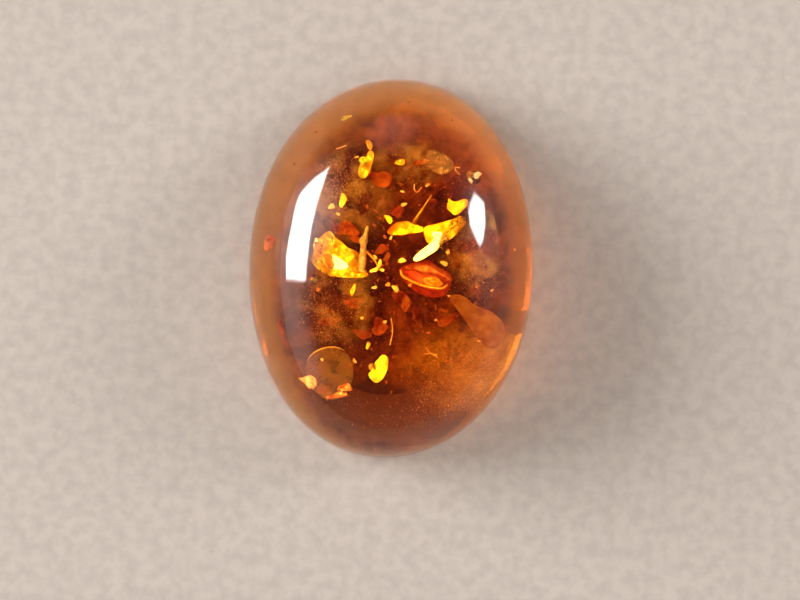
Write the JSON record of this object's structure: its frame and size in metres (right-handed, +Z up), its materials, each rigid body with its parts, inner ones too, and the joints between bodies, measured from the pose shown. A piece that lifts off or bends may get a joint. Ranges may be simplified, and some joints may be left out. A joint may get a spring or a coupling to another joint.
{
  "type": "amber cabochon",
  "caption": "Polished oval cabochon of clear honey-brown amber with a flat back, a high dome, and golden flakes, discs, a husk and a twig sealed inside.",
  "frame": {"origin": "middle of the flat back", "axes": "+Y along the oval's long axis, +X across it, +Z up out of the flat back towards the top of the dome"},
  "size_m": [0.015, 0.02, 0.0069],
  "materials": {
    "clear_amber": "polished, clear honey-brown",
    "golden_flake": "glittering golden yellow",
    "red_husk": "dull red with a golden core",
    "tan_twig": "grey-tan, fibrous",
    "orange_plate": "translucent orange-brown"
  },
  "bodies": {
    "root": {"amber_base": "clear_amber", "amber_crown": "clear_amber", "long_sliver": "golden_flake", "bright_flake": "golden_flake", "corner_flake": "golden_flake", "broad_flake": "golden_flake", "upper_left_flake": "golden_flake", "leaf_flake": "golden_flake", "seed_husk": "red_husk", "twig": "tan_twig", "lower_disc": "orange_plate", "upper_disc": "orange_plate", "brown_shard": "orange_plate"}
  },
  "joints": []
}
